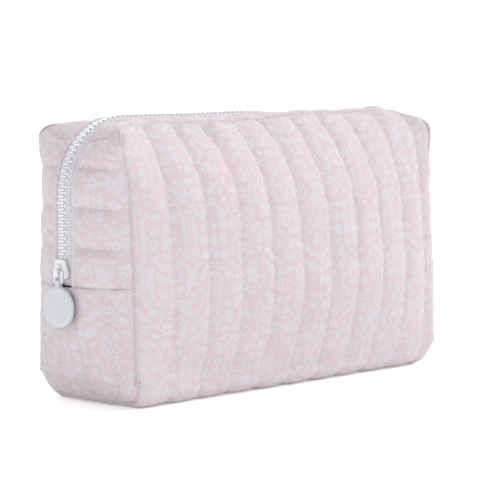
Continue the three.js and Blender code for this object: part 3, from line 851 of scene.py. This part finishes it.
marks = close_to(WALL_QUILT, -SEAM_HALF_LENGTH, SEAM_HALF_LENGTH, 0.8, 2.1, 2.4)
lengths = np.concatenate([even(0, 6, 0.75), even(6, CLOTH_LENGTH, 1.55)[1:]])
downs = np.interp(lengths, DOWN_LENGTH, DOWN)
for number, (name, side) in enumerate(SIDES):
    seed = 100 + 200 * number
    skin = lambda mark, down: wall_skin(mark, down, side)
    panel = Panel(
        f"{name}_panel", skin, marks, downs, wall_lift(seed),
        lambda mark, down: quilt_thickness(np.minimum(SEAM_HALF_LENGTH - np.abs(mark), wall_length(down))),
        COTTON, lambda mark, down: (-side * mark, -wall_length(down)),
    )
    run = even(1.5, CLOTH_LENGTH - 1, 1.2)
    rows = []
    for line in WALL_QUILT:
        rows.append(stitch_row(panel, line - quilt_sway(run, seed), np.interp(run, DOWN_LENGTH, DOWN)))
    threads = stitching(f"{name}_quilting", rows, THREAD)
    lining = Panel(
        f"{name}_lining_cloth", skin,
        even(-120, 120, 4), np.interp(even(4, CLOTH_LENGTH, 4), DOWN_LENGTH, DOWN),
        lambda mark, down: 0.5 * folds(mark / 30, wall_length(down) / 22, seed + 70) - 0.3,
        LINING_CLOTH, LINING, lambda mark, down: (mark, -wall_length(down)), inner=LINING_DEPTH,
    )
    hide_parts(f"{name}_wall_cover", f"{name}_wall_wadding", "main_panel_cover", "main_panel_wadding")
    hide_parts(f"{name}_wall_lining", "main_panel_lining")
    for piece, slot in slots_of(panel, threads, lining):
        bend_with(piece)

# ---- End panels ----
END_DOWN = np.linspace(0, 2, 401)
END_LINE = end_skin(np.zeros_like(END_DOWN), END_DOWN, 1)
END_LENGTHS = lengths_along(END_LINE)


# The hem's topstitching runs this far below the end seam, in shorter stitches.
HEM_STITCH, HEM_PITCH = 3.1, 2.8


def end_length(down):
    return np.interp(down, END_DOWN, END_LENGTHS)


def end_lift(seed):
    def lift(share, down):
        across, length = share * END_HALF_WIDTH, end_length(down)
        to_line = nearest(across, END_QUILT)
        to_side = END_HALF_WIDTH - np.abs(across)
        to_foot = END_LENGTHS[-1] - length
        height = pillow(np.minimum(to_line, to_side + 2), 10.2, 0.9, 1.8)
        crease = folds(across / 11 + length / 19, length / 13 - across / 40, seed)
        height = height + 1.1 * crease * np.exp(-to_foot / 17)
        height = height + 0.45 * folds(across / 17, length / 25, seed + 4)
        height = height + 0.5 * np.exp(-length / 7) * folds(across / 6.5, length / 30, seed + 8)
        height = height + 0.3 * lattice_noise(across / 7, length / 3, seed + 12) * np.exp(-to_line / 4)
        fade = smooth(to_side / 5) * smooth(length / 3) * smooth(to_foot / 4)
        hem = 0.35 * smooth(length / 1.2) * smooth((4 - length) / 1.2)
        height = height * lerp(0.25, 1, fade) + hem
        return height + seam_roll(to_side) + seam_roll(length, 0.15, 0.6) + seam_roll(to_foot, 1.5)

    return lift


end_marks = close_to(END_QUILT, -END_HALF_WIDTH, END_HALF_WIDTH, 0.8, 1.7, 2.4)
end_lengths = np.concatenate([even(0, 8, 0.6), even(8, END_LENGTHS[-1], 1.4)[1:]])
end_downs = np.interp(end_lengths, END_LENGTHS, END_DOWN)
for number, (name, end) in enumerate(ENDS):
    seed = 500 + 50 * number
    skin = lambda share, down: end_skin(share, down, end)
    panel = Panel(
        f"{name}_end_panel", skin, end_marks / END_HALF_WIDTH, end_downs, end_lift(seed),
        lambda share, down: quilt_thickness(np.minimum(
            np.minimum(END_HALF_WIDTH * (1 - np.abs(share)), end_length(down)), END_LENGTHS[-1] - end_length(down)
        )),
        COTTON, lambda share, down: (-end * share * END_HALF_WIDTH + 17, -end_length(down) - 70),
    )
    run = even(1.2, END_LENGTHS[-1] - 1.5, 1.0)
    run_downs = np.interp(run, END_LENGTHS, END_DOWN)
    rows = [stitch_row(panel, np.full_like(run, y / END_HALF_WIDTH), run_downs) for y in END_QUILT]
    hem = even(-0.97, 0.97, 0.02)
    hem_down = np.interp(HEM_STITCH, END_LENGTHS, END_DOWN)
    rows.append(stitch_row(panel, hem, np.full_like(hem, hem_down), pitch=HEM_PITCH))
    threads = stitching(f"{name}_end_quilting", rows, THREAD)
    lining = Panel(
        f"{name}_end_lining_cloth", skin, even(-0.86, 0.86, 0.1),
        np.interp(even(1, END_LENGTHS[-1] - 6, 4), END_LENGTHS, END_DOWN),
        lambda share, down: 0.4 * folds(share * 2, end_length(down) / 20, seed + 20) - 0.3,
        LINING_CLOTH, LINING, lambda share, down: (share * END_HALF_WIDTH, -end_length(down)), inner=LINING_DEPTH,
    )
    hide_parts(f"{name}_end_cover", f"{name}_end_wadding")
    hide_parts(f"{name}_end_lining")
    for piece, slot in slots_of(panel, threads, lining):
        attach(piece, "bag_base")

# ---- Gussets: from the end seam up each end and over the top, one to each side of the zip ----
RUNS = np.linspace(0, 3, 1501)
ARCH_X, ARCH_Z = seam_arch(RUNS)
ARCH_LENGTHS = lengths_along(np.stack([ARCH_X, ARCH_Z], -1))
ARCH_LENGTH = ARCH_LENGTHS[-1]


def arch_length(run):
    return np.interp(run, RUNS, ARCH_LENGTHS)


def gusset_width(run):
    return seam_depth(*seam_arch(run)) - CLOTH_EDGE


cross_count = int(round(ARCH_LENGTH / GUSSET_PITCH))
CROSS_QUILT = [ARCH_LENGTH * k / cross_count for k in range(1, cross_count)]
# The topstitching beside the zip: how far in from the cloth's edge, and its pitch.
TOPSTITCH, TOPSTITCH_PITCH = 2.7, 2.7
GUSSET_LINING_SHARES = (0.12, 0.96)


def gusset_thickness(run, t):
    width = gusset_width(run)
    share = smooth(t * width / 8) * smooth((1 - t) * width / 4)
    return lerp(SEAM_THICKNESS, QUILT_THICKNESS, share)


def gusset_lift(seed):
    def lift(run, t):
        length, width = arch_length(run), gusset_width(run)
        to_seam, to_edge = t * width, (1 - t) * width
        to_line = nearest(length, CROSS_QUILT)
        to_foot = np.minimum(length, ARCH_LENGTH - length)
        height = pillow(np.minimum(to_line, to_foot + 2), 10.0, 1.2, 2.8)
        height = height + 0.7 * np.exp(-to_seam / 8) * folds(length / 8, to_seam / 30, seed)
        height = height + 0.45 * folds(length / 18 + to_seam / 30, to_seam / 15, seed + 5)
        height = height + 0.3 * lattice_noise(length / 3, to_seam / 7, seed + 9) * np.exp(-to_line / 4)
        topstitch = 0.75 * np.exp(-(((to_edge - TOPSTITCH) / 0.9) ** 2))
        fade = smooth(to_seam / 11) * smooth(to_foot / 3) * smooth((to_edge - 1) / 5)
        height = height * lerp(0.15, 1, fade)
        edge = -1.1 * (1 - smooth(to_edge / 0.7)) + 0.35 * smooth(to_edge / 0.6) * smooth((5 - to_edge) / 2)
        rolled = seam_roll(to_seam, 1.7, 1.3) + seam_roll(to_foot, 0.15, 0.6)
        return height - topstitch + edge + rolled

    return lift


arch_stations = close_to(CROSS_QUILT, 0.0, ARCH_LENGTH, 0.8, 1.7, 2.4)
gusset_runs = np.interp(arch_stations, ARCH_LENGTHS, RUNS)
gusset_shares = np.concatenate([even(0, 0.12, 0.03), even(0.12, 0.78, 0.045)[1:], even(0.78, 1, 0.018)[1:]])
for number, (name, side) in enumerate(SIDES):
    seed = 800 + 60 * number

    def skin(run, t):
        guide = seam_depth(*seam_arch(run))
        return gusset_skin(run, lerp(guide, CLOTH_EDGE, t), side)

    panel = Panel(
        f"{name}_gusset", skin, gusset_runs, gusset_shares, gusset_lift(seed), gusset_thickness,
        COTTON, lambda run, t: (side * (t * gusset_width(run) + 9), arch_length(run) + 31),
    )
    across = even(0.03, 0.93, 0.02)
    lines = np.interp(CROSS_QUILT, ARCH_LENGTHS, RUNS)
    rows = [stitch_row(panel, np.full_like(across, line), across) for line in lines]
    top_runs = np.interp(even(1, ARCH_LENGTH - 1, 1.2), ARCH_LENGTHS, RUNS)
    rows.append(stitch_row(panel, top_runs, 1 - TOPSTITCH / gusset_width(top_runs), pitch=TOPSTITCH_PITCH))
    threads = stitching(f"{name}_gusset_stitching", rows, THREAD)
    lining = Panel(
        f"{name}_gusset_lining_cloth", skin, np.interp(even(2, ARCH_LENGTH - 2, 4), ARCH_LENGTHS, RUNS),
        even(*GUSSET_LINING_SHARES, 0.12),
        lambda run, t: 0.3 * folds(arch_length(run) / 18, t * 2, seed + 20) - 0.2,
        LINING_CLOTH, LINING, lambda run, t: (arch_length(run), t * gusset_width(run)), inner=LINING_DEPTH,
    )
    covered = GUSSET_LINING_SHARES[1] - GUSSET_LINING_SHARES[0]
    widths = covered * gusset_width(np.interp(even(0, ARCH_LENGTH, 2), ARCH_LENGTHS, RUNS))
    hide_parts(f"{name}_gusset_cover", f"{name}_gusset_wadding")
    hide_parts(f"{name}_gusset_lining")
    for piece, slot in slots_of(panel, threads, lining):
        bend_with(piece)

# ---- Zip: a woven tape and a row of moulded teeth on each side ----
ZIP_FOOT = 65.0
TEETH_FOOT = 69.5
TEETH_PITCH = 3.375
TEETH_DEPTH = 0.7
ZIP_START = (ZIP_FOOT - FOLD_HEIGHT) / (CREST_TOP - FOLD_HEIGHT)
FINE_RUNS = np.linspace(ZIP_START, 3 - ZIP_START, 3001)
CREST = gusset_skin(FINE_RUNS, np.zeros_like(FINE_RUNS), 1)
CREST_LENGTHS = lengths_along(CREST)
TAPE_EDGE, TAPE_WIDTH = 0.35, 12.2


def tape_lift(run, across):
    """The tape lies in the slot between the cloth edges, then dips under them."""
    hidden = smooth((across - 4.6) / 2.2)
    return -0.35 - 3.55 * hidden + 0.05 * lattice_noise(across / 3, run * 90, 41)


def tooth():
    """One tooth: across runs from the tape to past the middle; along is the zip's line."""
    half = [(0.76, 2.75), (0.76, 1.9), (0.5, 1.35), (0.5, 0.8), (0.77, 0.25), (0.77, -0.75), (0.42, -1.2)]
    outline = np.array(half + [(-a, c) for a, c in reversed(half)])
    middle = outline.mean(0)
    layers = [(-1.2, 0.82), (-0.95, 1.0), (0.95, 1.0), (1.2, 0.82)]
    points = []
    for height, size in layers:
        ring = middle + (outline - middle) * [size, 1 - (1 - size) * 0.35]
        points.append(np.column_stack([ring, np.full(len(ring), height)]))
    return np.concatenate(points), tube_faces(len(layers), len(outline))


TOOTH_POINTS, TOOTH_FACES = tooth()
left_teeth_from = np.interp(TEETH_FOOT, CREST[:600, 2], CREST_LENGTHS[:600])
for number, (name, side) in enumerate(SIDES):
    tape_runs = np.interp(even(0, CREST_LENGTHS[-1], 2.2), CREST_LENGTHS, FINE_RUNS)
    tape = Panel(
        f"{name}_zip_tape_woven", lambda run, across: gusset_skin(run, across, side), tape_runs,
        np.concatenate([even(TAPE_EDGE, 8.4, 0.5), even(8.4, TAPE_EDGE + TAPE_WIDTH, 1.1)[1:]]),
        tape_lift, lambda run, across: 0.5 - tape_lift(run, across), TAPE_CLOTH,
        lambda run, across: (across * side, np.interp(run, FINE_RUNS, CREST_LENGTHS)),
    )
    length = CREST_LENGTHS[-1] * MM
    start = left_teeth_from + (TEETH_PITCH / 2 if side > 0 else 0)
    spots = np.arange(start, CREST_LENGTHS[-1] - left_teeth_from + 0.1, TEETH_PITCH)
    parts = []
    for spot in spots:
        origin, ahead, behind = places_along(spot + np.array([0, 0.8, -0.8]), CREST_LENGTHS, CREST)
        forward = (ahead - behind) / np.linalg.norm(ahead - behind)
        outward = np.cross(forward, [0, 1, 0])
        outward *= np.sign(np.dot(outward, origin - INSIDE))
        origin = origin + wander(origin[None])[0] - outward * TEETH_DEPTH
        own = TOOTH_POINTS
        placed = origin + own[:, :1] * forward + own[:, 1:2] * np.array([0, side, 0]) + own[:, 2:] * outward
        parts.append((placed, TOOTH_FACES if side > 0 else TOOTH_FACES[:, ::-1]))
    teeth = make_object(f"{name}_zip_teeth_moulded", *merge(parts), TEETH, smooth_faces=False)
    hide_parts(f"{name}_zip_tape", "left_zip_tape_end", "right_zip_tape_end")
    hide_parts(f"{name}_zip_teeth", f"left_zip_teeth_end_{name}", f"right_zip_teeth_end_{name}")
    bend_with(tape.piece)
    bend_with(teeth)


# ---- Bindings, folded over the raw seam edges inside ----
def sweep(name, path, profile, material):
    """A closed profile carried along a line, with ends capped."""
    path = np.asarray(path, float)
    forward = np.gradient(path, axis=0)
    forward /= np.linalg.norm(forward, axis=1, keepdims=True)
    inward = INSIDE - path
    inward -= forward * np.sum(inward * forward, axis=1, keepdims=True)
    inward /= np.linalg.norm(inward, axis=1, keepdims=True)
    beside = np.cross(forward, inward)
    profile = np.asarray(profile, float)
    points = path[:, None] + profile[None, :, :1] * inward[:, None] + profile[None, :, 1:] * beside[:, None]
    rows, count = points.shape[:2]
    uvs = np.stack(np.meshgrid(np.arange(rows) * 2.0, np.arange(count) * 1.0, indexing="ij"), -1)
    points = points.reshape(-1, 3)
    return make_object(name, points, facing_out(points, tube_faces(rows, count)), material, uvs)


def resampled(points, step):
    points = np.asarray(points, float)
    reached = lengths_along(points)
    return places_along(even(0, reached[-1], step), reached, points), reached[-1]


def folded_strip(leg=4.9, half_gap=0.45, cloth=0.35):
    """The binding's cross-section: two legs and the fold that joins them."""
    turn = np.linspace(math.pi / 2, -math.pi / 2, 7)

    def face(radius):
        return [(-leg, radius), *((radius * math.cos(a), radius * math.sin(a)) for a in turn), (-leg, -radius)]

    return face(half_gap + cloth) + face(half_gap)[::-1]


STRIP = folded_strip()
BINDING_INSET = 11.0
# Heights down the end binding, and how far each is drawn in beyond the inset.
END_BINDING = ((61, 0), (50, 0), (38, 0), (27, 0), (20, 1.2), (15.5, 4), (13.6, 8))
END_BINDING_FOOT = 13.2
for name, side in SIDES:
    runs = np.linspace(0.05, 2.95, 260)
    x, z = arch_point(runs, SEAM_HALF_LENGTH - BINDING_INSET, SEAM_TOP - BINDING_INSET, SEAM_CORNER, 2.0)
    line = np.stack([x, side * (seam_depth(x, z) - BINDING_INSET), z], -1)
    path, length = resampled(line + wander(line), 2.5)
    binding = sweep(f"{name}_seam_binding_folded", path, STRIP, BINDING_CLOTH)
    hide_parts(f"{name}_seam_binding")
    bend_with(binding)
for name, end in ENDS:
    half = [(z, half_depth(z) - BINDING_INSET - inset) for z, inset in END_BINDING]
    outline = [(z, -y) for z, y in half] + [(END_BINDING_FOOT, 0.0)] + [(z, y) for z, y in reversed(half)]
    reach = SEAM_HALF_LENGTH - BINDING_INSET
    line = np.array([[end * (reach - 6 * (1 - min(1, z / 30))), y, z] for z, y in outline])
    path, length = resampled(line, 2.5)
    binding = sweep(f"{name}_seam_binding_folded", path, STRIP, BINDING_CLOTH)
    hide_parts(f"{name}_seam_binding")
    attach(binding, "bag_base")


# ---- Slider, link, puller and stops keep their shapes and are finished in paint and plastic ----
def finish_node(name, material):
    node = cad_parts[name]
    node.data.materials.clear()
    node.data.materials.append(material)
    for polygon in node.data.polygons:
        polygon.material_index = 0


for name in ("slider_body", "slider_crown", "pull_link"):
    finish_node(name, PAINT)
finish_node("puller_disc", RUBBER)
for name in ("left_zip_stop", "right_zip_stop"):
    finish_node(name, TEETH)

# ---- Floor, light and camera ----
FLOOR_REACH = 6000
floor_material, w, shader = new_material("Studio floor")
tone = w.noise(solid_place(w), 0.004, 2.0)
w.put(shader.inputs["Base Color"], w.mix(tone, colour(250, 249, 249), colour(252, 251, 251)))
w.put(shader.inputs["Roughness"], w.ramp(tone, 0.3, 0.7, 0.85, 0.95))
shader.inputs["Emission Color"].default_value = (1, 1, 1, 1)
seen = w.node("LightPath").outputs["Is Camera Ray"]
w.put(shader.inputs["Emission Strength"], w.ramp(seen, 0, 1, 0.1, 0.32, "LINEAR"))
corners = [(x * FLOOR_REACH, y * FLOOR_REACH, 0) for x, y in ((-1, -1), (1, -1), (1, 1), (-1, 1))]
floor = make_object("studio_floor", corners, np.array([[0, 1, 2, 3]]), floor_material)


def sun_light(name, direction, spread, power, tint):
    data = bpy.data.lights.new(name, "SUN")
    data.angle, data.energy, data.color = math.radians(spread), power, tint
    lamp = bpy.data.objects.new(name, data)
    lamp.rotation_euler = Vector(direction).to_track_quat("Z", "Y").to_euler()
    bpy.context.scene.collection.objects.link(lamp)


sun_light("key", (1.2, -0.75, 1.35), 60, 2.5, (1.0, 0.985, 0.975))
sun_light("fill", (-1.0, -0.4, 0.27), 80, 1.65, (0.97, 0.985, 1.0))
sun_light("rim", (0.3, 1.0, 0.7), 70, 1.4, (1.0, 0.99, 0.985))
world = bpy.data.worlds.new("Studio")
world.use_nodes = True
sky = Wiring(world.node_tree)
seen = sky.node("LightPath").outputs["Is Camera Ray"]
background = world.node_tree.nodes["Background"]
background.inputs["Color"].default_value = (1, 1, 1, 1)
sky.put(background.inputs["Strength"], sky.ramp(seen, 0, 1, 0.36, 1.1, "LINEAR"))
bpy.context.scene.world = world
bpy.context.scene.view_settings.view_transform = "Standard"

AZIMUTH, ELEVATION, DISTANCE = math.radians(-46.72), math.radians(5.17), 1.264
target = Vector((0, -0.0027, 0.0745))
level = math.cos(ELEVATION)
back = Vector((math.sin(AZIMUTH) * level, -math.cos(AZIMUTH) * level, math.sin(ELEVATION)))
camera_data = bpy.data.cameras.new("camera")
camera_data.lens, camera_data.sensor_width = 160.1, 36
camera_data.clip_start, camera_data.clip_end = 0.02, 30
camera = bpy.data.objects.new("camera", camera_data)
camera.location = target + back * DISTANCE
camera.rotation_euler = back.to_track_quat("Z", "Y").to_euler()
bpy.context.scene.collection.objects.link(camera)
bpy.context.scene.camera = camera
